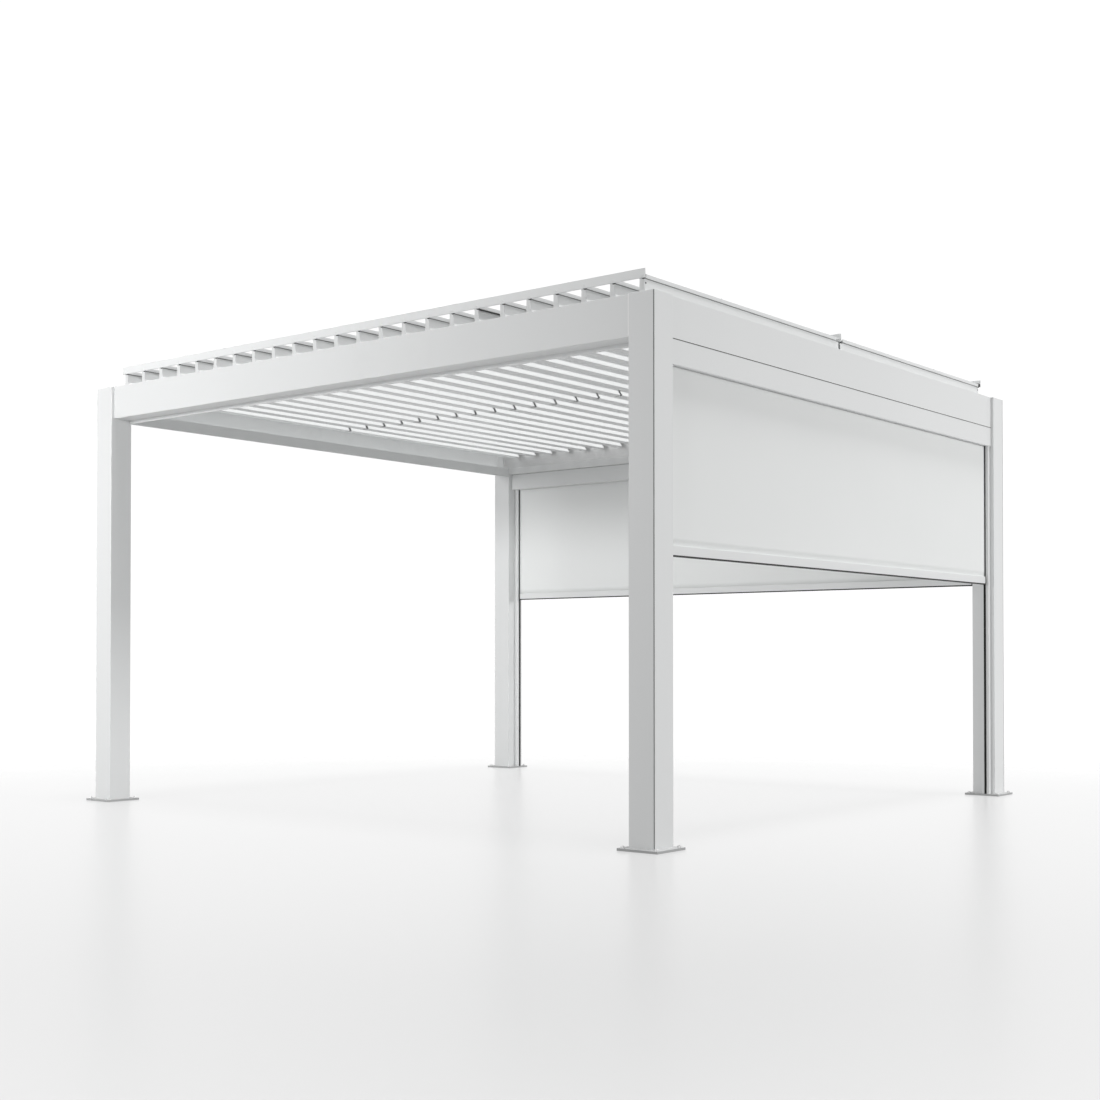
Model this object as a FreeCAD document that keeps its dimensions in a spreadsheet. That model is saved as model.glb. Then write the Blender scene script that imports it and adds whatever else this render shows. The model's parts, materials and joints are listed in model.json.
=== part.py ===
"""Free-standing louvred pergola of powder-coated aluminium, in millimetres.

Origin on the ground under the middle of the roof, +Z up. The open sides face -Y and -X.
The screens hang on the +X and +Y sides. Louvers lie along Y and are spaced along X.
"""
import FreeCAD, Part
import os
import Sketcher

Vector = FreeCAD.Vector
Rotation = FreeCAD.Rotation

DIMENSIONS = {
    # Frame
    "frame_x": (4300, "outer face to outer face of the posts along X"),
    "frame_y": (4000, "outer face to outer face of the posts along Y"),
    "frame_top": (2600, "ground to the top of posts and beams"),
    "post_side": (150, "side of the square post"),
    "post_wall": (4, "wall of the post tube, its closed top and the corner cover"),
    "cover_return": (25, "return of the corner cover behind the beam end"),
    "plate_thick": (12, "base plate"),
    "anchor_spacing": (190, "spacing of the anchor holes in a base plate"),
    "anchor_edge": (20, "middle of an anchor hole to the edge of the square base plate"),
    "anchor_bore": (14, "anchor hole diameter"),
    # Gutter beams
    "beam_height": (200, "tall outer wall of the beam"),
    "beam_recess": (18, "beam face behind the post face"),
    "beam_wall": (3, "wall of the beam profile"),
    "beam_bead": (8, "stiffening bead along the top of the outer wall"),
    "gutter_lip": (49, "inner lip of the gutter above the beam underside"),
    "drip_height": (20, "drip bead under the gutter lip on the open sides"),
    "drip_width": (12, "drip bead across"),
    # Bearing rails that stand in the gutters
    "rail_setback": (61, "outer face of the bearing rail behind the post face"),
    "rail_thick": (5, "bearing rail"),
    "rail_foot": (26, "foot flange of the bearing rail"),
    "rail_top": (16, "top edge of the bearing rail above the louver pins"),
    "rail_end": (25, "frame face to the end of the bearing rail"),
    # Louvers, upright at rest, with their pivot axis along Y
    "louver_count": (24, "number of louvers"),
    "louver_first": (140, "frame face on the +X side to the first pivot"),
    "louver_last": (171.8, "last pivot to the frame face on the -X side"),
    "louver_setback": (97, "frame face to the louver end along Y"),
    "pivot_drop": (25, "pivot axis below the frame top"),
    "blade_above": (131, "top of the blade above the pivot"),
    "blade_below": (35, "underside of the blade below the pivot"),
    "blade_back": (15, "flat face of the blade behind the pivot"),
    "lip_out": (15, "front of the top lip before the pivot"),
    "lip_height": (18, "height of the top lip"),
    "lip_step": (4, "top lip in front of the blade face"),
    "crest_flat": (5, "level part of the blade top behind its front"),
    "crest_fall": (8, "fall of the blade top from there to its flat face"),
    "flare_start": (15, "front of the blade before the pivot where the flare starts"),
    "flare_rise": (60, "start of the flare above the pivot"),
    "waist_out": (30, "front of the thick part of the blade before the pivot"),
    "waist_rise": (28, "top of the thick part above the pivot"),
    "ramp_drop": (4, "top of the foot ramp below the pivot"),
    "flare_out": (48, "foot of the ramp before the pivot"),
    "flare_edge": (3, "foot of the ramp above the underside"),
    "foot_flat": (38, "level part of the underside before the pivot"),
    "blade_wall": (2.5, "wall of the hollow blade"),
    "cap_thick": (4, "end cap of the louver"),
    "pin_diameter": (10, "louver pivot pin"),
    "pin_stick": (3, "pivot pin beyond the bearing rail"),
    "pin_slack": (0.3, "clearance all round a pin in its hole"),
    # Tie bars that turn all louvers together
    "tie_rise": (125, "tie pins above the pivot axis"),
    "tie_lead": (10, "tie pins before the pivot axis"),
    "tie_height": (45, "height of a tie bar"),
    "tie_below": (14, "lower edge of a tie bar below the tie pins"),
    "tie_foot": (8, "tie bar across its lower edge"),
    "tie_crest": (3, "tie bar across its upper edge"),
    "tie_start": (15, "tie bar before the first tie pin"),
    "tie_reach": (32, "outer tie bars beyond the last tie pin"),
    "tie_reach_middle": (20, "middle tie bar beyond the last tie pin"),
    "tie_clear": (5, "gap between tie bar and end cap"),
    "tie_pin": (8, "tie pin diameter"),
    "tie_stick": (2, "tie pin beyond the tie bar"),
    "notch_width": (75, "notch in the blade tops for the middle tie bar"),
    "notch_depth": (26, "depth of that notch"),
    "slot_width": (20, "slot in the blade fronts that the middle tie bar sinks into"),
    "slot_back": (5, "bottom of that slot behind the pivot"),
    # Drive rod on one louver
    "drive_place": (7, "louver that carries the drive rod, counted from the +X side"),
    "drive_rod": (8, "drive rod diameter"),
    "drive_lead": (16.5, "drive rod before the pivot axis"),
    "drive_length": (420, "drive rod length"),
    # Screens
    "cassette_height": (122, "roller box under the beam"),
    "cassette_depth": (94, "roller box from its outer face inwards"),
    "cassette_wall": (3, "wall of the roller box"),
    "cassette_slot": (16, "fabric slot under the roller box"),
    "screen_setback": (50, "middle of the fabric behind the post face"),
    "roller_diameter": (55, "roller with its wound fabric"),
    "roller_slack": (0.3, "roller behind the hanging fabric"),
    "guide_width": (50, "side guide along the post face"),
    "guide_depth": (33, "side guide proud of the post"),
    "guide_slot": (12, "slot of the side guide"),
    "guide_pocket": (22, "depth of the slot"),
    "fabric_thick": (1.2, "screen fabric"),
    "fabric_tuck": (16, "fabric edge inside the side guide"),
    "screen_drop": (1374, "ground to the seal of the screens"),
    "bar_height": (44, "bottom bar of the screen"),
    "bar_thick": (20, "bottom bar across"),
    "bar_wall": (2, "wall of the bottom bar"),
    "bar_clear": (3, "bottom bar end cap to the side guide"),
    "bar_cap": (10, "black end cap of the bottom bar"),
    "seal_height": (8, "rubber seal under the bottom bar"),
    "seal_thick": (10, "rubber seal across"),
}


class Size:
    """A number together with the spreadsheet expression that it comes from."""

    def __init__(self, value, text):
        self.value = value
        self.text = text

    def join(self, other, sign):
        if not isinstance(other, Size):
            other = Size(other, f"({other})")
        text = f"({self.text} {sign} {other.text})"
        if sign == "+":
            return Size(self.value + other.value, text)
        if sign == "-":
            return Size(self.value - other.value, text)
        if sign == "*":
            return Size(self.value * other.value, text)
        return Size(self.value / other.value, text)

    def __add__(self, other):
        return self.join(other, "+")

    def __sub__(self, other):
        return self.join(other, "-")

    def __mul__(self, other):
        return self.join(other, "*")

    def __truediv__(self, other):
        return self.join(other, "/")

    def __neg__(self):
        return ZERO - self


ZERO = Size(0, "0")

doc = FreeCAD.newDocument("Pergola")
sheet = doc.addObject("Spreadsheet::Sheet", "Sizes")
for row, (alias, (number, note)) in enumerate(DIMENSIONS.items(), start=1):
    sheet.set(f"A{row}", alias)
    sheet.set(f"B{row}", str(number))
    sheet.set(f"C{row}", note)
    sheet.setAlias(f"B{row}", alias)
doc.recompute()
size = {alias: Size(float(sheet.get(alias)), f"Sizes.{alias}") for alias in DIMENSIONS}

parts = []


def part(item, label):
    """Name a finished sub-part and keep it for the export."""
    item.Label = label
    parts.append(item)
    return item


def bind(item, prop, amount):
    """Set a property from a size, so that it follows the spreadsheet."""
    item.setExpression(prop, amount.text)


def place(item, x, y, z, turn=Rotation()):
    """Put an object at a point given as sizes, turned by a fixed rotation."""
    item.Placement = FreeCAD.Placement(Vector(x.value, y.value, z.value), turn)
    for axis, amount in (("x", x), ("y", y), ("z", z)):
        bind(item, f"Placement.Base.{axis}", amount)


def draw(sketch, corners):
    """Add a closed outline through corners given as pairs of sizes."""
    first = sketch.GeometryCount
    count = len(corners)
    spots = [Vector(x.value, y.value, 0) for x, y in corners]
    for i in range(count):
        sketch.addGeometry(Part.LineSegment(spots[i], spots[(i + 1) % count]))
    for i in range(count):
        following = first + (i + 1) % count
        sketch.addConstraint(Sketcher.Constraint("Coincident", first + i, 2, following, 1))
    for i, pair in enumerate(corners):
        for kind, amount in zip(("DistanceX", "DistanceY"), pair):
            rule = Sketcher.Constraint(kind, -1, 1, first + i, 1, amount.value)
            index = sketch.addConstraint(rule)
            bind(sketch, f"Constraints[{index}]", amount)


def rectangle(left, right, low, high):
    return [(left, low), (right, low), (right, high), (left, high)]


def square(side):
    return rectangle(-side / 2, side / 2, -side / 2, side / 2)


def sketch_on_base(body, name):
    """A sketch on the body's own XY plane."""
    sketch = body.newObject("Sketcher::SketchObject", name)
    plane = [feature for feature in body.Origin.OriginFeatures if feature.Role == "XY_Plane"][0]
    sketch.AttachmentSupport = [(plane, "")]
    sketch.MapMode = "FlatFace"
    return sketch


def padded(name, outlines, length, middle=False):
    """A body made of one sketch, padded upwards or to both sides."""
    body = doc.addObject("PartDesign::Body", name)
    sketch = sketch_on_base(body, name + "_sketch")
    for corners in outlines:
        draw(sketch, corners)
    feature = body.newObject("PartDesign::Pad", name + "_pad")
    feature.Profile = sketch
    feature.Midplane = middle
    bind(feature, "Length", length)
    return body


def group(name, items):
    """Pieces that share a sub-part but do not touch each other."""
    compound = doc.addObject("Part::Compound", name)
    compound.Links = items
    return compound


def cut(name, base, tool):
    result = doc.addObject("Part::Cut", name)
    result.Base = base
    result.Tool = tool
    return result


def fused(name, items):
    union = doc.addObject("Part::MultiFuse", name)
    union.Shapes = items
    return union


def box(name, length, width, height, x, y, z):
    """A block from its lowest corner."""
    block = doc.addObject("Part::Box", name)
    bind(block, "Length", length)
    bind(block, "Width", width)
    bind(block, "Height", height)
    place(block, x, y, z)
    return block


ALONG_X = Rotation(Vector(0, 1, 0), 90)
ALONG_Y = Rotation(Vector(1, 0, 0), -90)


def rod(name, diameter, length, x, y, z, turn=Rotation()):
    """A round rod from a point upwards, or along another axis."""
    item = doc.addObject("Part::Cylinder", name)
    bind(item, "Radius", diameter / 2)
    bind(item, "Height", length)
    place(item, x, y, z, turn)
    return item


half_x = size["frame_x"] / 2
half_y = size["frame_y"] / 2
half_post = size["post_side"] / 2
post_x = half_x - half_post
post_y = half_y - half_post
beam_low = size["frame_top"] - size["beam_height"]
gutter_floor = beam_low + size["beam_wall"]

# The four corners, seen from above, with the quarter turns from the near one
CORNERS = {
    "near": (post_x, -post_y, 0),
    "right": (post_x, post_y, 1),
    "rear": (-post_x, post_y, 2),
    "left": (-post_x, -post_y, 3),
}

# Each side: length between its posts, direction of its outer face, quarter turns
between_x = size["frame_x"] - size["post_side"] * 2
between_y = size["frame_y"] - size["post_side"] * 2
SIDES = {
    "front": (between_x, (0, -1), 0),
    "right": (between_y, (1, 0), 1),
    "rear": (between_x, (0, 1), 2),
    "left": (between_y, (-1, 0), 3),
}
SCREEN_SIDES = ("right", "rear")

# Lays a profile along +X: its first axis towards +Y, its second up
LYING = Rotation(Vector(0, 1, 0), Vector(0, 0, 1), Vector(1, 0, 0), "ZYX")


def quarter(turns):
    return Rotation(Vector(0, 0, 1), 90 * turns)


def side_place(item, side, z):
    """Lay a profile along a side: outline from the post face inwards, then up."""
    length, (along_x, along_y), turns = SIDES[side]
    place(item, half_x * along_x, half_y * along_y, z, quarter(turns).multiply(LYING))


def make_post(corner):
    """Square tube, open below and closed on top."""
    name = f"post_{corner}"
    x, y, turns = CORNERS[corner]
    height = gutter_floor - size["plate_thick"]
    body = padded(name, [square(size["post_side"])], height)
    room = sketch_on_base(body, name + "_room")
    draw(room, square(size["post_side"] - size["post_wall"] * 2))
    pocket = body.newObject("PartDesign::Pocket", name + "_pocket")
    pocket.Profile = room
    pocket.Reversed = True
    bind(pocket, "Length", height - size["post_wall"])
    place(body, x, y, size["plate_thick"])
    return part(body, name)


def make_corner_covers():
    """The two outer walls of each post beside the gutters, with a return behind each beam end."""
    half = half_post
    inner = half_post - size["post_wall"]
    back = half_post - size["cover_return"]
    outline = [
        (-half, -half), (half, -half), (half, half), (back, half), (back, inner),
        (inner, inner), (inner, -inner), (-inner, -inner), (-inner, -back), (-half, -back),
    ]
    covers = []
    for corner, (x, y, turns) in CORNERS.items():
        cover = padded(f"cover_{corner}", [outline], size["frame_top"] - gutter_floor)
        place(cover, x, y, gutter_floor, quarter(turns))
        covers.append(cover)
    return part(group("covers", covers), "corner_covers")


def make_base_plates():
    """Foot plates with four anchor holes each."""
    plates = []
    reach = size["anchor_spacing"] / 2
    radius = size["anchor_bore"] / 2
    plate = square(size["anchor_spacing"] + size["anchor_edge"] * 2)
    for corner, (x, y, turns) in CORNERS.items():
        name = f"plate_{corner}"
        body = padded(name, [plate], size["plate_thick"])
        holes = sketch_on_base(body, name + "_holes")
        for across in (-reach, reach):
            for along in (-reach, reach):
                spot = Vector(across.value, along.value, 0)
                index = holes.addGeometry(Part.Circle(spot, Vector(0, 0, 1), radius.value))
                for kind, amount in (("DistanceX", across), ("DistanceY", along)):
                    rule = Sketcher.Constraint(kind, -1, 1, index, 3, amount.value)
                    bind(holes, f"Constraints[{holes.addConstraint(rule)}]", amount)
                rule = Sketcher.Constraint("Radius", index, radius.value)
                bind(holes, f"Constraints[{holes.addConstraint(rule)}]", radius)
        pocket = body.newObject("PartDesign::Pocket", name + "_pocket")
        pocket.Profile = holes
        pocket.Reversed = True
        bind(pocket, "Length", size["plate_thick"])
        place(body, x, y, ZERO)
        plates.append(body)
    return part(group("plates", plates), "base_plates")


def make_beam(side):
    """Gutter beam: tall outer wall with a bead, floor and low inner lip."""
    wall = size["beam_wall"]
    outer = size["beam_recess"]
    inner = size["post_side"]
    top = size["beam_height"]
    bead = size["beam_bead"]
    if side in SCREEN_SIDES:
        under = [(outer, ZERO), (inner, ZERO)]
    else:
        drip = inner - size["drip_width"]
        under = [(outer, ZERO), (drip, ZERO), (drip, -size["drip_height"]), (inner, -size["drip_height"])]
    outline = under + [
        (inner, size["gutter_lip"]), (inner - wall, size["gutter_lip"]), (inner - wall, wall),
        (outer + wall, wall), (outer + wall, top - bead), (outer + bead, top - bead),
        (outer + bead, top), (outer, top),
    ]
    body = padded(f"beam_{side}", [outline], SIDES[side][0], middle=True)
    side_place(body, side, beam_low)
    return part(body, f"beam_{side}")


pivot_height = size["frame_top"] - size["pivot_drop"]
first_x = half_x - size["louver_first"]
louver_end = half_y - size["louver_setback"]
louver_run = size["frame_x"] - size["louver_first"] - size["louver_last"]
louver_pitch = louver_run / (size["louver_count"] - 1)
LOUVERS = range(int(size["louver_count"].value))


def louver_x(index):
    return first_x - louver_pitch * index


def make_bearing_rails():
    """Angles that stand in the front and rear gutters, with a hole for each pivot pin."""
    height = pivot_height + size["rail_top"] - gutter_floor
    outer = size["rail_setback"]
    thick = size["rail_thick"]
    outline = [
        (outer, ZERO), (outer + size["rail_foot"], ZERO), (outer + size["rail_foot"], thick),
        (outer + thick, thick), (outer + thick, height), (outer, height),
    ]
    length = size["frame_x"] - size["rail_end"] * 2
    bore = size["pin_diameter"] + size["pin_slack"] * 2
    rails = []
    for side, face in (("front", outer - half_y), ("rear", half_y - outer - thick)):
        rail = padded(f"rail_{side}", [outline], length, middle=True)
        side_place(rail, side, gutter_floor)
        holes = [
            rod(f"rail_{side}_hole_{index + 1}", bore, thick, louver_x(index), face, pivot_height, ALONG_Y)
            for index in LOUVERS
        ]
        rails.append(cut(f"rail_{side}_drilled", rail, group(f"rail_{side}_drill", holes)))
    return part(group("rails", rails), "bearing_rails")


def louver_outline():
    """Across the upright louver: first value towards +X, second up, from the pivot axis."""
    back = -size["blade_back"]
    top = size["blade_above"]
    low = -size["blade_below"]
    lip_low = top - size["lip_height"]
    return [
        (back, top - size["crest_fall"]), (back, low), (size["foot_flat"], low),
        (size["flare_out"], low + size["flare_edge"]), (size["waist_out"], -size["ramp_drop"]),
        (size["waist_out"], size["waist_rise"]), (size["flare_start"], size["flare_rise"]),
        (size["lip_out"] - size["lip_step"], lip_low), (size["lip_out"], lip_low),
        (size["lip_out"], top), (size["lip_out"] - size["crest_flat"], top),
    ]


def extruded(name, profile, length):
    """A flat outline pulled the same way to both sides."""
    solid = doc.addObject("Part::Extrusion", name)
    solid.Base = profile
    solid.DirMode = "Custom"
    solid.Dir = Vector(0, 0, 1)
    solid.Symmetric = True
    solid.Solid = True
    bind(solid, "LengthFwd", length)
    return solid


def make_louver_master():
    """One louver lying on its outline's plane: hollow blade, end caps, pivot pins and tie pins."""
    sketch = doc.addObject("Sketcher::SketchObject", "louver_sketch")
    draw(sketch, louver_outline())
    inside = doc.addObject("Part::Offset2D", "louver_inside")
    inside.Source = sketch
    inside.Join = "Intersection"
    bind(inside, "Value", -size["blade_wall"])
    length = louver_end * 2
    skin = extruded("blade_skin", sketch, length)
    room = extruded("blade_room", inside, length - size["cap_thick"] * 2)

    across = size["flare_out"] * 2
    notch = box("bar_notch", across, size["notch_depth"], size["notch_width"],
                -size["flare_out"], size["blade_above"] - size["notch_depth"], -size["notch_width"] / 2)
    slot = box("bar_slot", across, size["blade_above"] + size["blade_below"], size["slot_width"],
               -size["slot_back"], -size["blade_below"], -size["slot_width"] / 2)
    blade = cut("blade", cut("blade_hollow", skin, room), group("bar_room", [notch, slot]))

    pin = size["pin_diameter"]
    pin_length = size["louver_setback"] - size["rail_setback"] + size["pin_stick"]
    tie = size["tie_pin"]
    tie_length = size["tie_clear"] + size["tie_foot"] + size["tie_stick"]
    tie_spot = (size["tie_lead"], size["tie_rise"])
    pieces = [
        blade,
        rod("pivot_pin_front", pin, pin_length, ZERO, ZERO, louver_end),
        rod("pivot_pin_rear", pin, pin_length, ZERO, ZERO, -louver_end - pin_length),
        rod("tie_pin_front", tie, tie_length, *tie_spot, louver_end),
        rod("tie_pin_rear", tie, tie_length, *tie_spot, -louver_end - tie_length),
        rod("tie_pin_middle", tie, size["notch_width"], *tie_spot, -size["notch_width"] / 2),
    ]
    return fused("louver", pieces)


def make_louver(index, master):
    """Louver number index + 1, counted from the +X side, stood upright."""
    name = f"louver_{index + 1:02d}"
    louver = group(name, [master])
    place(louver, louver_x(index), ZERO, pivot_height, Rotation(Vector(1, 0, 0), 90))
    return part(louver, name)


def make_tie_bars():
    """Three tapered bars along X with a hole for each tie pin."""
    foot = size["tie_foot"] / 2
    crest = size["tie_crest"] / 2
    low = -size["tie_below"]
    high = size["tie_height"] - size["tie_below"]
    section = [(-foot, low), (foot, low), (crest, high), (-crest, high)]
    first_pin = first_x + size["tie_lead"]
    height = pivot_height + size["tie_rise"]
    edge = louver_end + size["tie_clear"] + foot
    bore = size["tie_pin"] + size["pin_slack"] * 2
    bars = []
    for row, y, reach in (
        ("front", -edge, size["tie_reach"]),
        ("middle", ZERO, size["tie_reach_middle"]),
        ("rear", edge, size["tie_reach"]),
    ):
        bar = padded(f"bar_{row}", [section], louver_run + size["tie_start"] + reach)
        place(bar, first_pin - louver_run - reach, y, height, LYING)
        holes = [
            rod(f"bar_{row}_hole_{index + 1}", bore, size["tie_foot"],
                louver_x(index) + size["tie_lead"], y - foot, height, ALONG_Y)
            for index in LOUVERS
        ]
        bars.append(cut(f"bar_{row}_drilled", bar, group(f"bar_{row}_drill", holes)))
    return part(group("bars", bars), "tie_bars")


def make_drive_rod():
    """Black rod that lies along one blade face, right under its lip."""
    x = louver_x(size["drive_place"] - 1) + size["drive_lead"]
    drop = size["lip_height"] + size["drive_rod"] / 2 + size["pin_slack"]
    height = pivot_height + size["blade_above"] - drop
    shaft = rod("drive_shaft", size["drive_rod"], size["drive_length"], x, -louver_end, height, ALONG_Y)
    return part(shaft, "drive_rod")


cassette_low = beam_low - size["cassette_height"]
roller_height = cassette_low + size["cassette_height"] / 2


def make_cassette(side):
    """Roller box under the beam, with the fabric slot in its floor."""
    wall = size["cassette_wall"]
    outer = size["beam_recess"]
    inner = outer + size["cassette_depth"]
    height = size["cassette_height"]
    slot_left = size["screen_setback"] - size["cassette_slot"] / 2
    slot_right = size["screen_setback"] + size["cassette_slot"] / 2
    outline = [
        (outer, ZERO), (slot_left, ZERO), (slot_left, wall), (outer + wall, wall),
        (outer + wall, height - wall), (inner - wall, height - wall), (inner - wall, wall),
        (slot_right, wall), (slot_right, ZERO), (inner, ZERO), (inner, height), (outer, height),
    ]
    body = padded(f"headbox_{side}", [outline], SIDES[side][0], middle=True)
    side_place(body, side, cassette_low)
    return part(body, f"headbox_{side}")


def make_rollers():
    """Fabric rollers between the posts, one behind each hanging fabric."""
    behind = (size["screen_setback"] + size["fabric_thick"] / 2 + size["roller_slack"]
              + size["roller_diameter"] / 2)
    thick = size["roller_diameter"]
    rollers = [
        rod("roller_right", thick, between_y, half_x - behind, -between_y / 2, roller_height, ALONG_Y),
        rod("roller_rear", thick, between_x, -between_x / 2, half_y - behind, roller_height, ALONG_X),
    ]
    return part(group("rollers", rollers), "screen_rollers")


def make_guides():
    """Four slotted guides on the posts beside the screens."""
    half = size["guide_width"] / 2
    slot = size["guide_slot"] / 2
    proud = size["guide_depth"]
    bottom = proud - size["guide_pocket"]
    outline = [
        (-half, ZERO), (half, ZERO), (half, proud), (slot, proud), (slot, bottom),
        (-slot, bottom), (-slot, proud), (-half, proud),
    ]
    screen_x = half_x - size["screen_setback"]
    screen_y = half_y - size["screen_setback"]
    guides = []
    for name, x, y, turns in (
        ("right_low", screen_x, -between_y / 2, 0),
        ("right_high", screen_x, between_y / 2, 2),
        ("rear_low", -between_x / 2, screen_y, 3),
        ("rear_high", between_x / 2, screen_y, 1),
    ):
        guide = padded(f"guide_{name}", [outline], cassette_low - size["plate_thick"])
        place(guide, x, y, size["plate_thick"], quarter(turns))
        guides.append(guide)
    return part(group("guides", guides), "screen_guides")


def make_fabric(side):
    """Screen cloth from the roller down to the bottom bar, its edges in the guides."""
    thick = size["fabric_thick"] / 2
    middle = size["screen_setback"]
    low = size["screen_drop"] + size["seal_height"] + size["bar_height"]
    length = SIDES[side][0] - size["guide_depth"] * 2 + size["fabric_tuck"] * 2
    outline = rectangle(middle - thick, middle + thick, ZERO, roller_height - low)
    hanging = padded(f"hanging_{side}", [outline], SIDES[side][0] - size["guide_depth"] * 2, middle=True)
    side_place(hanging, side, low)
    tucked = rectangle(middle - thick, middle + thick, ZERO, cassette_low - low)
    edges = padded(f"edges_{side}", [tucked], length, middle=True)
    side_place(edges, side, low)
    return part(fused(f"cloth_{side}", [hanging, edges]), f"screen_fabric_{side}")


def bar_length(side):
    """Bottom bar without its end caps."""
    open_width = SIDES[side][0] - size["guide_depth"] * 2
    return open_width - (size["bar_clear"] + size["bar_cap"]) * 2


def make_bottom_bar(side):
    """Hollow bar at the foot of the screen."""
    half = size["bar_thick"] / 2
    middle = size["screen_setback"]
    wall = size["bar_wall"]
    height = size["bar_height"]
    outlines = [
        rectangle(middle - half, middle + half, ZERO, height),
        rectangle(middle - half + wall, middle + half - wall, wall, height - wall),
    ]
    body = padded(f"bottom_bar_{side}", outlines, bar_length(side), middle=True)
    side_place(body, side, size["screen_drop"] + size["seal_height"])
    return part(body, f"bottom_bar_{side}")


def make_bar_trims():
    """Black end caps of each bottom bar, joined by the rubber seal below it."""
    middle = size["screen_setback"]
    half = size["bar_thick"] / 2
    lip = size["seal_thick"] / 2
    seal = size["seal_height"]
    high = seal + size["bar_height"]
    trims = []
    for side in SCREEN_SIDES:
        whole = bar_length(side) + size["bar_cap"] * 2
        strip = padded(f"seal_{side}", [rectangle(middle - lip, middle + lip, ZERO, seal)], whole, middle=True)
        block = rectangle(middle - half, middle + half, seal, high)
        shell = padded(f"cap_shell_{side}", [block], whole, middle=True)
        gap = padded(f"cap_gap_{side}", [block], bar_length(side), middle=True)
        for item in (strip, shell, gap):
            side_place(item, side, size["screen_drop"])
        trims.append(fused(f"trim_{side}", [strip, cut(f"caps_{side}", shell, gap)]))
    return part(group("trims", trims), "bar_trims")


def main():
    for corner in CORNERS:
        make_post(corner)
    make_corner_covers()
    make_base_plates()
    for side in SIDES:
        make_beam(side)
    make_bearing_rails()
    master = make_louver_master()
    for index in LOUVERS:
        make_louver(index, master)
    make_tie_bars()
    make_drive_rod()
    make_guides()
    make_rollers()
    for side in SCREEN_SIDES:
        make_cassette(side)
        make_fabric(side)
        make_bottom_bar(side)
    make_bar_trims()
    doc.recompute()

    for item in doc.Objects:
        if "Invalid" in item.State or "Error" in item.State:
            raise RuntimeError(f"{item.Label} could not be built: {item.State}")
    for item in parts:
        if item.Shape.isNull() or not item.Shape.isValid():
            raise RuntimeError(f"{item.Label} has no valid shape")

    os.makedirs("parts", exist_ok=True)
    for item in parts:
        item.Shape.exportStep(f"parts/{item.Label}.step")
        print(item.Label, len(item.Shape.Solids), "solids", round(item.Shape.Volume / 1e6, 3), "litres")
    print(len(parts), "nodes")


main()
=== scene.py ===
"""Looks of the free-standing louvred pergola: powder coat, screen cloth, seals, fixings and light."""
import math

import bmesh
import bpy
from mathutils import Matrix, Vector, noise
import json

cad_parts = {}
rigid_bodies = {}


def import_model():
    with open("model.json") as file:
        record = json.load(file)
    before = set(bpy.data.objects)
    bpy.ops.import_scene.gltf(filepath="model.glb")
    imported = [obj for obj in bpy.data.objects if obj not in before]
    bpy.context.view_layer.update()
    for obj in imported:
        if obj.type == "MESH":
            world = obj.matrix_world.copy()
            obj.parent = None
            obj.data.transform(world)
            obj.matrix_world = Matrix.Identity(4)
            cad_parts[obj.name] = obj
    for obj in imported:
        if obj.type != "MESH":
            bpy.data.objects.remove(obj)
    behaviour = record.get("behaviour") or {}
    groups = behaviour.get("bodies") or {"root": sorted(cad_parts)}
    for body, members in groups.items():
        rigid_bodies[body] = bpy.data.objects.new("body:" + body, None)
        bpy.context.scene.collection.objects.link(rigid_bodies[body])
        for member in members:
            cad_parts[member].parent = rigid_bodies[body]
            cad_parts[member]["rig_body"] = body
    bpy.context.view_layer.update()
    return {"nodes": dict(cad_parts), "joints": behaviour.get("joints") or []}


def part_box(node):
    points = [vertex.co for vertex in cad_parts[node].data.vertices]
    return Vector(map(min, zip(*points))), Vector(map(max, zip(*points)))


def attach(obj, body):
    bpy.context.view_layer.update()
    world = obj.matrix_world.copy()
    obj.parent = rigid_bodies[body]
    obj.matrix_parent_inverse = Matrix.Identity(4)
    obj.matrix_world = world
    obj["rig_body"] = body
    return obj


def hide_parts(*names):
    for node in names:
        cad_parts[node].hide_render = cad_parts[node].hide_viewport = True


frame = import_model()

MM = 0.001


# Shader helpers

class Socket:
    """A shader value that Python arithmetic turns into Math nodes."""

    def __init__(self, shader, link):
        self.shader = shader
        self.link = link

    def math(self, operation, first, second):
        return self.shader.node("ShaderNodeMath", {"operation": operation}, {0: first, 1: second})

    def __add__(self, other):
        return self.math("ADD", self, other)

    def __rsub__(self, other):
        return self.math("SUBTRACT", other, self)

    def __mul__(self, other):
        return self.math("MULTIPLY", self, other)


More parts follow.
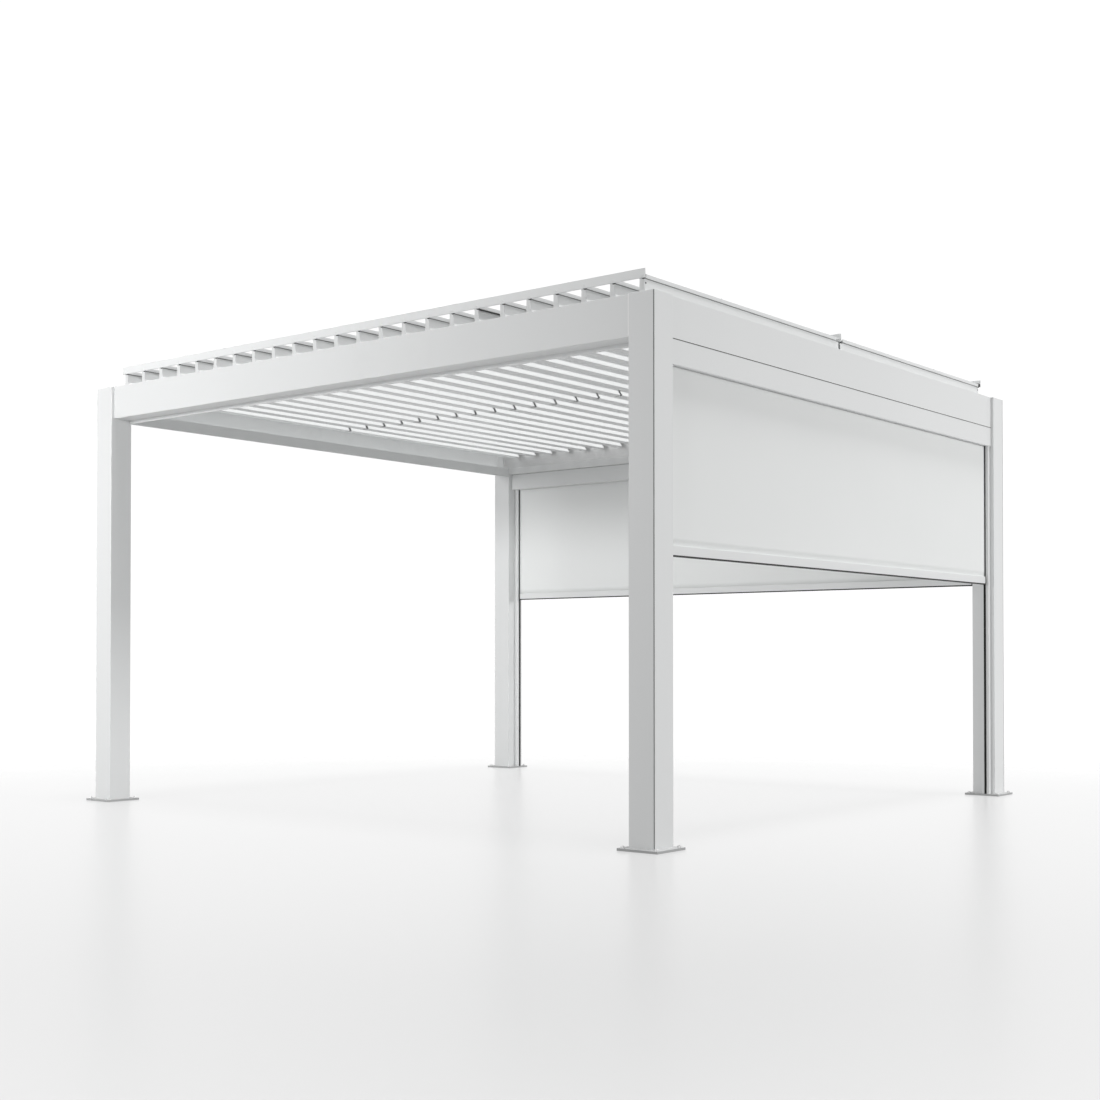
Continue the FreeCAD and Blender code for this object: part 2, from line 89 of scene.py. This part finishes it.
class Shader:
    """A material whose nodes are made one call at a time."""

    def __init__(self, name):
        self.material = bpy.data.materials.new(name)
        self.material.use_nodes = True
        self.tree = self.material.node_tree
        self.tree.nodes.clear()

    def node(self, kind, settings=None, inputs=None, output=0):
        """Make a node, set it up, fill or link its inputs and give back one output."""
        made = self.tree.nodes.new(kind)
        for name, value in (settings or {}).items():
            setattr(made, name, value)
        for key, value in (inputs or {}).items():
            if isinstance(value, Socket):
                self.tree.links.new(value.link, made.inputs[key])
            else:
                made.inputs[key].default_value = value
        return Socket(self, made.outputs[output])

    def place(self):
        """Object coordinates, which are the frame's own metres."""
        return self.node("ShaderNodeTexCoord", output="Object")

    def noise(self, scale, detail=2.0, stretch=(1, 1, 1)):
        """Noise from 0 to 1, stretched along the axes."""
        spot = self.node("ShaderNodeMapping", inputs={"Vector": self.place(), "Scale": stretch})
        return self.node("ShaderNodeTexNoise", inputs={"Vector": spot, "Scale": scale, "Detail": detail})

    def blend(self, amount, first, second):
        """A colour between two colours."""
        return self.node("ShaderNodeMix", {"data_type": "RGBA"}, {0: amount, 6: first, 7: second}, output=2)

    def finish(self, **inputs):
        """Close the material with a Principled shader."""
        named = {key.replace("_", " "): value for key, value in inputs.items()}
        surface = self.node("ShaderNodeBsdfPrincipled", inputs=named)
        last = self.tree.nodes.new("ShaderNodeOutputMaterial")
        self.tree.links.new(surface.link, last.inputs["Surface"])
        return self.material


def shade(value):
    """An opaque grey."""
    return (value, value, value, 1.0)


def tint(red, green, blue):
    """An opaque colour."""
    return (red, green, blue, 1.0)


# Finishes

def powder_coat(name, light, dark, roughness):
    """Satin powder coat: faint cloudy tone and the fine orange peel of the sprayed film."""
    shader = Shader(name)
    cloud = shader.noise(1.7, 3.0)
    fleck = shader.noise(420.0, 1.0)
    colour = shader.blend(cloud * 0.7 + fleck * 0.3, dark, light)
    peel = shader.noise(650.0, 2.0)
    normal = shader.node("ShaderNodeBump", inputs={"Strength": 0.12, "Distance": 0.0003, "Height": peel})
    return shader.finish(Base_Color=colour, Roughness=cloud * 0.08 + (roughness - 0.04), Normal=normal)


def woven_cloth(name, light, dark):
    """Fine coated screen cloth with its warp and weft just visible close by."""
    shader = Shader(name)
    place = shader.place()
    split = {"Vector": place}
    across = shader.node("ShaderNodeSeparateXYZ", inputs=split, output="X") + shader.node(
        "ShaderNodeSeparateXYZ", inputs=split, output="Y")
    upward = shader.node("ShaderNodeSeparateXYZ", inputs=split, output="Z")
    repeat = 1.4 * MM
    threads = 2 * math.pi / repeat
    warp = shader.node("ShaderNodeMath", {"operation": "SINE"}, {0: across * threads})
    weft = shader.node("ShaderNodeMath", {"operation": "SINE"}, {0: upward * threads})
    weave = warp * weft * 0.5 + 0.5
    slub = shader.noise(2.2, 2.0)
    colour = shader.blend(slub * 0.8 + weave * 0.2, dark, light)
    normal = shader.node("ShaderNodeBump", inputs={"Strength": 0.25, "Distance": 0.0002, "Height": weave})
    return shader.finish(Base_Color=colour, Roughness=weave * 0.1 + 0.72, Normal=normal)


def plain_metal(name, light, dark, roughness, stretch):
    """Bare aluminium or zinc with fine drawing lines."""
    shader = Shader(name)
    lines = shader.noise(220.0, 2.0, stretch)
    colour = shader.blend(lines, dark, light)
    normal = shader.node("ShaderNodeBump", inputs={"Strength": 0.2, "Distance": 0.0002, "Height": lines})
    return shader.finish(Base_Color=colour, Metallic=0.85,
                         Roughness=lines * 0.15 + roughness, Normal=normal)


def dark_rubber(name, value, roughness):
    """Black seal, brush or plastic with a slightly uneven surface."""
    shader = Shader(name)
    grain = shader.noise(300.0, 3.0)
    colour = shader.blend(grain, shade(value * 0.7), shade(value * 1.3))
    normal = shader.node("ShaderNodeBump", inputs={"Strength": 0.3, "Distance": 0.0003, "Height": grain})
    return shader.finish(Base_Color=colour, Roughness=grain * 0.2 + roughness, Normal=normal)


FRAME_WHITE = powder_coat("frame_powder_coat", tint(0.795, 0.805, 0.805), tint(0.76, 0.77, 0.77), 0.42)
LOUVER_WHITE = powder_coat("louver_powder_coat", tint(0.815, 0.825, 0.825), tint(0.785, 0.795, 0.795), 0.40)
PLATE_GREY = powder_coat("foot_plate_coat", tint(0.44, 0.445, 0.445), tint(0.38, 0.385, 0.385), 0.45)
# A whiter coat than the frame: painted highlight for the fillets at the post and beam joints.
JOINT_HIGHLIGHT_WHITE = powder_coat("joint_fillet_highlight_coat", tint(0.93, 0.93, 0.93), tint(0.91, 0.91, 0.91), 0.35)
CLOTH = woven_cloth("screen_weave", tint(0.88, 0.89, 0.885), tint(0.85, 0.865, 0.86))
BARE_METAL = plain_metal("drawn_aluminium", shade(0.75), shade(0.62), 0.3, (0.1, 1, 1))
ZINC = plain_metal("zinc_fixings", shade(0.78), shade(0.6), 0.28, (1, 1, 1))
# Black for real seals and trims, and for the painted shade strips in the post corner grooves.
BLACK_SEAL_AND_SHADE = dark_rubber("black_seal_and_shade", 0.016, 0.5)
# Dark grey for the strip under each louver lip: a gasket, and painted shade of the shadow line under the
# lip.
LIP_SEAL_AND_SHADE = dark_rubber("lip_seal_and_shade", 0.25, 0.5)
BLACK_METAL = dark_rubber("black_lacquer", 0.02, 0.3)
# Dark brush pile, which also paints the slot's shadow where it stands out of the guide.
DARK_BRUSH_AND_SHADE = dark_rubber("brush_pile_and_shade", 0.02, 0.8)


# Mesh helpers

GROOVE_START = 3 * MM
GROOVE_END = 8 * MM
GROOVE_DEPTH = 3 * MM


def finish_piece(mesh, name, body, material):
    """Turn a bmesh into a piece that rides on a body."""
    bmesh.ops.recalc_face_normals(mesh, faces=mesh.faces)
    data = bpy.data.meshes.new(name)
    mesh.to_mesh(data)
    mesh.free()
    piece = bpy.data.objects.new(name, data)
    bpy.context.scene.collection.objects.link(piece)
    data.materials.append(material)
    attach(piece, body)
    return piece


def add_block(mesh, low, high, bevel=0.0):
    """A block from corner to corner, with its edges bevelled."""
    low = Vector(low)
    high = Vector(high)
    made = bmesh.ops.create_cube(mesh, size=1.0)["verts"]
    span = high - low
    bmesh.ops.scale(mesh, vec=span, verts=made)
    bmesh.ops.translate(mesh, vec=(low + high) / 2, verts=made)
    if bevel:
        edges = list({edge for vert in made for edge in vert.link_edges})
        bmesh.ops.bevel(mesh, geom=edges, offset=bevel, offset_type="OFFSET", segments=2, profile=0.5,
                        affect="EDGES", material=-1)


def add_disc(mesh, centre, axis, radius, thick, sides=24, bevel=0.0):
    """A round or many-sided plate with its first face at the centre, standing along an axis."""
    made = bmesh.ops.create_cone(mesh, cap_ends=True, segments=sides, radius1=radius, radius2=radius,
                                 depth=thick)["verts"]
    turn = Vector(axis).to_track_quat("Z", "Y").to_matrix().to_4x4()
    place = Matrix.Translation(Vector(centre) + Vector(axis) * thick / 2)
    bmesh.ops.transform(mesh, matrix=place @ turn, verts=made)
    if bevel:
        rims = [edge for edge in {edge for vert in made for edge in vert.link_edges}
                if len(edge.link_faces) == 2 and any(len(face.verts) > 4 for face in edge.link_faces)]
        bmesh.ops.bevel(mesh, geom=rims, offset=bevel, offset_type="OFFSET", segments=2, profile=0.5,
                        affect="EDGES", material=-1)


def paint(node, material):
    """Give a CAD node its finish."""
    piece = frame["nodes"][node]
    if not piece.material_slots:
        piece.data.materials.append(material)
    for place in piece.material_slots:
        place.material = material


def cut_groove(mesh, corner, facing, across):
    """Sink a narrow groove into the outer face beside a post corner."""
    for distance in (GROOVE_START, GROOVE_END):
        bmesh.ops.bisect_plane(mesh, geom=mesh.verts[:] + mesh.edges[:] + mesh.faces[:],
                               plane_co=corner - across * distance, plane_no=across, dist=0.00001)
    strip = []
    for face in mesh.faces:
        away = corner - face.calc_center_median()
        level = abs(away.dot(facing)) < 0.5 * MM
        within = GROOVE_START < away.dot(across) < GROOVE_END
        if level and within and face.normal.dot(facing) > 0.99:
            strip.append(face)
    bmesh.ops.inset_region(mesh, faces=strip, thickness=0.01 * MM, depth=-GROOVE_DEPTH, use_boundary=True,
                           use_even_offset=True)


def softened(node, width, material, keep_level=(), grooves=()):
    """A copy of a CAD node with rounded edges stands for it. Edges at the kept levels stay sharp."""
    source = frame["nodes"][node]
    body = source["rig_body"]
    weld = 0.02 * MM
    level_slack = 0.5 * MM
    flat_angle = math.radians(1)
    edge_angle = math.radians(40)
    mesh = bmesh.new()
    mesh.from_mesh(source.data)
    bmesh.ops.remove_doubles(mesh, verts=mesh.verts, dist=weld)
    bmesh.ops.dissolve_limit(mesh, angle_limit=flat_angle, verts=mesh.verts, edges=mesh.edges)
    edges = []
    for edge in mesh.edges:
        if len(edge.link_faces) != 2 or edge.calc_face_angle(0) < edge_angle:
            continue
        heights = [vert.co.z for vert in edge.verts]
        if any(all(abs(height - level) < level_slack for height in heights) for level in keep_level):
            continue
        edges.append(edge)
    bmesh.ops.bevel(mesh, geom=edges, offset=width, offset_type="OFFSET", segments=2, profile=0.5,
                    affect="EDGES", clamp_overlap=True, material=-1)
    for corner, facing, across in grooves:
        cut_groove(mesh, corner, facing, across)
    piece = finish_piece(mesh, node + "_finished", body, material)
    for face in piece.data.polygons:
        face.use_smooth = False
    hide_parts(node)
    return piece


# Frame

BEAMS = ("beam_front", "beam_right", "beam_rear", "beam_left")
LOUVERS = sorted(name for name in frame["nodes"] if name.startswith("louver_"))
SCREENS = ("right", "rear")
PIVOTS = {joint["child"]: Vector(joint["pos_m"]) for joint in frame["joints"] if joint["child"] in LOUVERS}
POST_SIDE = 150 * MM
TIE_BAR_WIDTH = 8 * MM
TIE_BAR_GAP = 5 * MM

post_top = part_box("post_near")[1].z
frame_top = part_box("corner_covers")[1].z
frame_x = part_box("corner_covers")[1].x
frame_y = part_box("corner_covers")[1].y
plate_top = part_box("base_plates")[1].z
beam_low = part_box("beam_right")[0].z
louver_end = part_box("tie_bars")[1].y - TIE_BAR_WIDTH - TIE_BAR_GAP

# Outer corner of each post, the face with the groove, and the way from that face round the corner
GROOVES = {
    "post_near": (Vector((frame_x, -frame_y, 0)), Vector((0, -1, 0)), Vector((1, 0, 0))),
    "post_right": (Vector((frame_x, frame_y, 0)), Vector((1, 0, 0)), Vector((0, 1, 0))),
    "post_rear": (Vector((-frame_x, frame_y, 0)), Vector((0, 1, 0)), Vector((-1, 0, 0))),
    "post_left": (Vector((-frame_x, -frame_y, 0)), Vector((-1, 0, 0)), Vector((0, -1, 0))),
}

for post, groove in GROOVES.items():
    softened(post, 2.5 * MM, FRAME_WHITE, (post_top, plate_top), [groove])
softened("corner_covers", 2.5 * MM, FRAME_WHITE, (post_top,), list(GROOVES.values()))
for beam in BEAMS:
    softened(beam, 1.2 * MM, FRAME_WHITE)
softened("base_plates", 1.2 * MM, PLATE_GREY)
softened("screen_guides", 1.2 * MM, FRAME_WHITE)
for side in SCREENS:
    softened(f"headbox_{side}", 1.4 * MM, FRAME_WHITE)
    softened(f"bottom_bar_{side}", 0.8 * MM, FRAME_WHITE)
paint("bearing_rails", BARE_METAL)
paint("screen_rollers", BARE_METAL)
paint("bar_trims", BLACK_SEAL_AND_SHADE)
paint("drive_rod", BLACK_METAL)
paint("tie_bars", LOUVER_WHITE)
for louver in LOUVERS:
    paint(louver, LOUVER_WHITE)


# Seals and joints of the frame, with painted shade in the post grooves and painted highlights at the beam
# joints

def corner_groove_shade():
    """Dark strip at the bottom of the groove beside each post corner: painted shade of the recess, in the
    form of a seal.
    """
    mesh = bmesh.new()
    play = 0.4 * MM
    sunk = 2 * MM
    for corner, facing, across in GROOVES.values():
        # The strip is painted shade: it darkens the groove where shade falls.
        outer = corner - across * (GROOVE_START + play) - facing * sunk
        inner = corner - across * (GROOVE_END - play) - facing * (GROOVE_DEPTH + play)
        low = Vector((min(outer.x, inner.x), min(outer.y, inner.y), plate_top))
        high = Vector((max(outer.x, inner.x), max(outer.y, inner.y), frame_top - 1 * MM))
        add_block(mesh, low, high)
    return finish_piece(mesh, "corner_groove_shade", "frame", BLACK_SEAL_AND_SHADE)


def headbox_seals():
    """Dark lines in the joint between the beams and the roller boxes under them."""
    mesh = bmesh.new()
    half, proud, deep = 2 * MM, 0.4 * MM, 2.2 * MM
    for side in SCREENS:
        low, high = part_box(f"headbox_{side}")
        faces = (low.x, high.x) if side == "right" else (low.y, high.y)
        for face, inward in zip(faces, (1, -1)):
            near = face - inward * proud
            far = face + inward * deep
            first, last = min(near, far), max(near, far)
            if side == "right":
                add_block(mesh, (first, low.y, beam_low - half), (last, high.y, beam_low + half))
            else:
                add_block(mesh, (low.x, first, beam_low - half), (high.x, last, beam_low + half))
    return finish_piece(mesh, "headbox_seals", "frame", BLACK_SEAL_AND_SHADE)


def beam_joint_highlights():
    """Fillets in the joints between the posts and the front and rear beams, whiter than the frame as a
    painted highlight of the post edge catching the light.
    """
    mesh = bmesh.new()
    half, proud, deep = 2.5 * MM, 0.5 * MM, 2 * MM
    top = frame_top - 3 * MM
    for end_x in (-1, 1):
        for end_y in (-1, 1):
            x = end_x * (frame_x - POST_SIDE)
            y = sorted((end_y * (frame_y - deep), end_y * (frame_y + proud)))
            add_block(mesh, (x - half, y[0], beam_low), (x + half, y[1], top), 0.4 * MM)
    return finish_piece(mesh, "beam_joint_highlights", "frame", JOINT_HIGHLIGHT_WHITE)


corner_groove_shade()
headbox_seals()
beam_joint_highlights()


# Anchor bolts in the foot plates

def anchor_bolts():
    """Washer and hexagon nut on a stud in every anchor hole."""
    mesh = bmesh.new()
    low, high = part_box("base_plates")
    edge = 20 * MM
    spacing = 190 * MM
    up = (0, 0, 1)
    nut_base = plate_top + 2 * MM
    nut_top = nut_base + 6 * MM
    for x in (low.x + edge, low.x + edge + spacing, high.x - edge - spacing, high.x - edge):
        for y in (low.y + edge, low.y + edge + spacing, high.y - edge - spacing, high.y - edge):
            add_disc(mesh, (x, y, plate_top), up, 12 * MM, nut_base - plate_top, 24, 0.5 * MM)
            add_disc(mesh, (x, y, nut_base), up, 10 * MM, nut_top - nut_base, 6, 0.8 * MM)
            add_disc(mesh, (x, y, nut_top), up, 5 * MM, 3 * MM, 16, 0.8 * MM)
    return finish_piece(mesh, "anchor_bolts", "frame", ZINC)


anchor_bolts()


# Brush strips in the side guides, standing out of the slots as painted shade

def guide_brushes_and_shade():
    """Dark pile on both sides of each guide slot, standing a little out of its mouth as painted shade of
    the slot.
    """
    mesh = bmesh.new()
    low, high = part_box("screen_guides")
    setback = 50 * MM
    guide_depth = 33 * MM
    # The pile stands out of the guide's mouth to widen the dark band: painted shade of the slot.
    shade_stand_out = 5 * MM
    mouth = POST_SIDE + guide_depth + shade_stand_out
    deep = 25 * MM
    inner, outer = 2.5 * MM, 6 * MM
    for end in (-1, 1):
        for side in (-1, 1):
            x = sorted((frame_x - setback + side * inner, frame_x - setback + side * outer))
            y = sorted((end * (frame_y - mouth), end * (frame_y - mouth + deep)))
            add_block(mesh, (x[0], y[0], low.z), (x[1], y[1], high.z))
            x = sorted((end * (frame_x - mouth), end * (frame_x - mouth + deep)))
            y = sorted((frame_y - setback + side * inner, frame_y - setback + side * outer))
            add_block(mesh, (x[0], y[0], low.z), (x[1], y[1], high.z))
    return finish_piece(mesh, "guide_brushes_and_shade", "frame", DARK_BRUSH_AND_SHADE)


guide_brushes_and_shade()


# Screen cloth

def screen_cloth(side):
    """Stretched cloth with a very slight unevenness, held in the guides and by the bottom bar."""
    node = f"screen_fabric_{side}"
    low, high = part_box(node)
    centre = (low + high) / 2
    span = high - low
    width = span.y if side == "right" else span.x
    height = span.z
    swell = 1.6 * MM
    patch = 3.0 if side == "right" else 7.0
    mesh = bmesh.new()
    grid = bmesh.ops.create_grid(mesh, x_segments=90, y_segments=24, size=0.5)["verts"]
    bmesh.ops.scale(mesh, vec=(width, height, 1), verts=grid)
    for vert in grid:
        across = 2 * vert.co.x / width
        up = 2 * vert.co.y / height
        free = max(0.0, 1 - across ** 8) * max(0.0, 1 - up ** 8)
        ripple = noise.noise(Vector((vert.co.x * 1.3, vert.co.y * 2.1, patch)))
        vert.co.z = ripple * free * swell
    if side == "right":
        turn = Matrix(((0, 0, 1), (1, 0, 0), (0, 1, 0))).to_4x4()
    else:
        turn = Matrix(((-1, 0, 0), (0, 0, 1), (0, 1, 0))).to_4x4()
    bmesh.ops.transform(mesh, matrix=Matrix.Translation(centre) @ turn, verts=grid)
    piece = finish_piece(mesh, f"screen_cloth_{side}", "frame", CLOTH)
    solid = piece.modifiers.new("thickness", "SOLIDIFY")
    solid.thickness = 0.9 * MM
    solid.offset = 0
    for face in piece.data.polygons:
        face.use_smooth = True
    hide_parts(node)
    return piece


for side in SCREENS:
    screen_cloth(side)


# Trims of the louvers

def louver_lip_shade_seal(louver):
    """Dark strip under the top lip, in two lengths beside the notch for the middle tie bar: a gasket, and
    painted shade of the lip's shadow line.
    """
    pivot = PIVOTS[louver]
    mesh = bmesh.new()
    cap, notch = 6 * MM, 38 * MM
    back, face = pivot.x + 10.4 * MM, pivot.x + 12.3 * MM
    low, high = pivot.z + 108.5 * MM, pivot.z + 113 * MM
    for first, last in ((-louver_end + cap, -notch), (notch, louver_end - cap)):
        add_block(mesh, (back, first, low), (face, last, high), 0.3 * MM)
    return finish_piece(mesh, f"{louver}_lip_shade_seal", louver, LIP_SEAL_AND_SHADE)


def louver_fixings(louver):
    """Black washers beside the outer tie bars, which also paint the shade of the gap under the bars, and
    rear screws. The first louver has face screws too.
    """
    pivot = PIVOTS[louver]
    mesh = bmesh.new()
    screw_radius = 4.5 * MM
    for end in (-1, 1):
        screw_y = end * (louver_end - 12 * MM)
        # The washers reach below the tie bars as painted shade of the gap between bar and louver end.
        washer = (pivot.x + 10 * MM, end * louver_end, pivot.z + 121 * MM)
        add_disc(mesh, washer, (0, end, 0), 14.5 * MM, 3 * MM, 24, 0.5 * MM)
        if louver == LOUVERS[0]:
            face_screw = (pivot.x + 12.6 * MM, screw_y, pivot.z + 90 * MM)
            add_disc(mesh, face_screw, (1, 0, 0), screw_radius, 1.6 * MM, 16, 0.5 * MM)
        rear_screw = (pivot.x - 14.8 * MM, screw_y, pivot.z + 60 * MM)
        add_disc(mesh, rear_screw, (-1, 0, 0), screw_radius, 1.4 * MM, 16, 0.5 * MM)
    return finish_piece(mesh, f"{louver}_fixings", louver, BLACK_METAL)


def pivot_bushes():
    """Black bearing bushes on the inner side of both rails."""
    mesh = bmesh.new()
    rail = frame_y - 66 * MM
    for pivot in PIVOTS.values():
        for end in (-1, 1):
            add_disc(mesh, (pivot.x, end * rail, pivot.z), (0, -end, 0), 12 * MM, 6 * MM, 24, 1 * MM)
    return finish_piece(mesh, "pivot_bushes", "frame", BLACK_SEAL_AND_SHADE)


def top_screws():
    """Dome screws on the crest of the first louver."""
    pivot = PIVOTS["louver_01"]
    mesh = bmesh.new()
    from_middle = 1.23
    crest = pivot.z + 130.9 * MM
    for y in (-from_middle, from_middle):
        add_disc(mesh, (pivot.x + 12 * MM, y, crest), (0, 0, 1), 5 * MM, 4 * MM, 20, 1.5 * MM)
    return finish_piece(mesh, "louver_01_top_screws", "louver_01", ZINC)


for louver in LOUVERS:
    louver_lip_shade_seal(louver)
    louver_fixings(louver)
pivot_bushes()
top_screws()


# Floor, light and camera

def floor_material():
    """Slightly glossy studio floor that fades out. It glows more to the eye than as light."""
    glow_seen = 0.5
    glow_as_light = 0.36
    middle = (1.0, -1.6, 0)
    shader = Shader("studio_floor")
    spot = shader.node("ShaderNodeVectorMath", {"operation": "SUBTRACT"}, {0: shader.place(), 1: middle})
    distance = shader.node("ShaderNodeVectorMath", {"operation": "LENGTH"}, {0: spot}, output="Value")
    fade = shader.node("ShaderNodeMapRange", {"interpolation_type": "SMOOTHSTEP"},
                       {"Value": distance, "From Min": 3.5, "From Max": 8.5, "To Min": 1.0, "To Max": 0.0})
    as_light = shader.node("ShaderNodeLightPath", output="Is Diffuse Ray")
    glow = glow_seen - as_light * (glow_seen - glow_as_light)
    return shader.finish(Base_Color=shade(0.1), Roughness=0.3, IOR=1.3, Alpha=fade,
                         Emission_Color=shade(1.0), Emission_Strength=glow)


def floor():
    """A round floor just under the foot plates."""
    mesh = bmesh.new()
    bmesh.ops.create_circle(mesh, cap_ends=True, segments=96, radius=9.5)
    data = bpy.data.meshes.new("floor")
    mesh.to_mesh(data)
    mesh.free()
    piece = bpy.data.objects.new("floor", data)
    piece.location.z = -0.0005
    data.materials.append(floor_material())
    bpy.context.scene.collection.objects.link(piece)


def area_light(name, place, target, width, depth, power, spread):
    """A rectangular soft light whose beam has a limited spread in degrees."""
    data = bpy.data.lights.new(name, "AREA")
    data.spread = math.radians(spread)
    data.shape = "RECTANGLE"
    data.size = width
    data.size_y = depth
    data.energy = power
    lamp = bpy.data.objects.new(name, data)
    lamp.location = place
    lamp.rotation_euler = (Vector(target) - Vector(place)).to_track_quat("-Z", "Y").to_euler()
    bpy.context.scene.collection.objects.link(lamp)


def sun_light(name, tilt, power, softness):
    """A broad high light that leans from straight above towards +X."""
    data = bpy.data.lights.new(name, "SUN")
    data.energy = power
    data.angle = math.radians(softness)
    lamp = bpy.data.objects.new(name, data)
    lamp.rotation_euler = (0, math.radians(tilt), 0)
    bpy.context.scene.collection.objects.link(lamp)


def studio():
    """White surroundings, brighter to the eye than as light, one high light and three soft side lights."""
    strength_seen = 1.05
    strength_as_light = 0.35
    world = bpy.data.worlds.new("studio")
    bpy.context.scene.world = world
    world.use_nodes = True
    tree = world.node_tree
    tree.nodes.clear()
    path = tree.nodes.new("ShaderNodeLightPath")
    either = tree.nodes.new("ShaderNodeMath")
    either.operation = "MAXIMUM"
    seen = tree.nodes.new("ShaderNodeBackground")
    seen.inputs["Color"].default_value = shade(1.0)
    seen.inputs["Strength"].default_value = strength_seen
    ambient = tree.nodes.new("ShaderNodeBackground")
    ambient.inputs["Color"].default_value = shade(1.0)
    ambient.inputs["Strength"].default_value = strength_as_light
    mixed = tree.nodes.new("ShaderNodeMixShader")
    last = tree.nodes.new("ShaderNodeOutputWorld")
    tree.links.new(path.outputs["Is Camera Ray"], either.inputs[0])
    tree.links.new(path.outputs["Is Glossy Ray"], either.inputs[1])
    tree.links.new(either.outputs[0], mixed.inputs[0])
    tree.links.new(ambient.outputs[0], mixed.inputs[1])
    tree.links.new(seen.outputs[0], mixed.inputs[2])
    tree.links.new(mixed.outputs[0], last.inputs["Surface"])
    sun_light("high", 6, 3.35, 18)
    area_light("left_front", (-7, -20, 4), (-4.0, 0, 2.4), 5, 4, 90, 48)
    area_light("right_rear", (20, 9, 4), (1.2, 2.4, 2.6), 5, 4, 172, 60)
    area_light("front", (4.5, -19, 4.4), (-3.2, 0, 2.5), 4, 2, 44, 30)


def camera():
    """The photograph's place and lens. Pixels are those of the 1100 pixel frame."""
    frame_pixels = 1100
    focal_pixels = 1564.2
    centre_row = 635.7
    sensor = 36.0
    data = bpy.data.cameras.new("camera")
    data.sensor_width = sensor
    data.lens = sensor * focal_pixels / frame_pixels
    data.shift_y = (centre_row - frame_pixels / 2) / frame_pixels
    data.clip_end = 200
    eye = bpy.data.objects.new("camera", data)
    eye.location = (6.281, -7.906, 0.892)
    yaw = math.radians(38.81)
    pitch = math.radians(0.84)
    forward = Vector((-math.sin(yaw) * math.cos(pitch), math.cos(yaw) * math.cos(pitch), math.sin(pitch)))
    eye.rotation_euler = forward.to_track_quat("-Z", "Y").to_euler()
    bpy.context.scene.collection.objects.link(eye)
    bpy.context.scene.camera = eye


floor()
studio()
camera()
bpy.context.scene.view_settings.view_transform = "Standard"
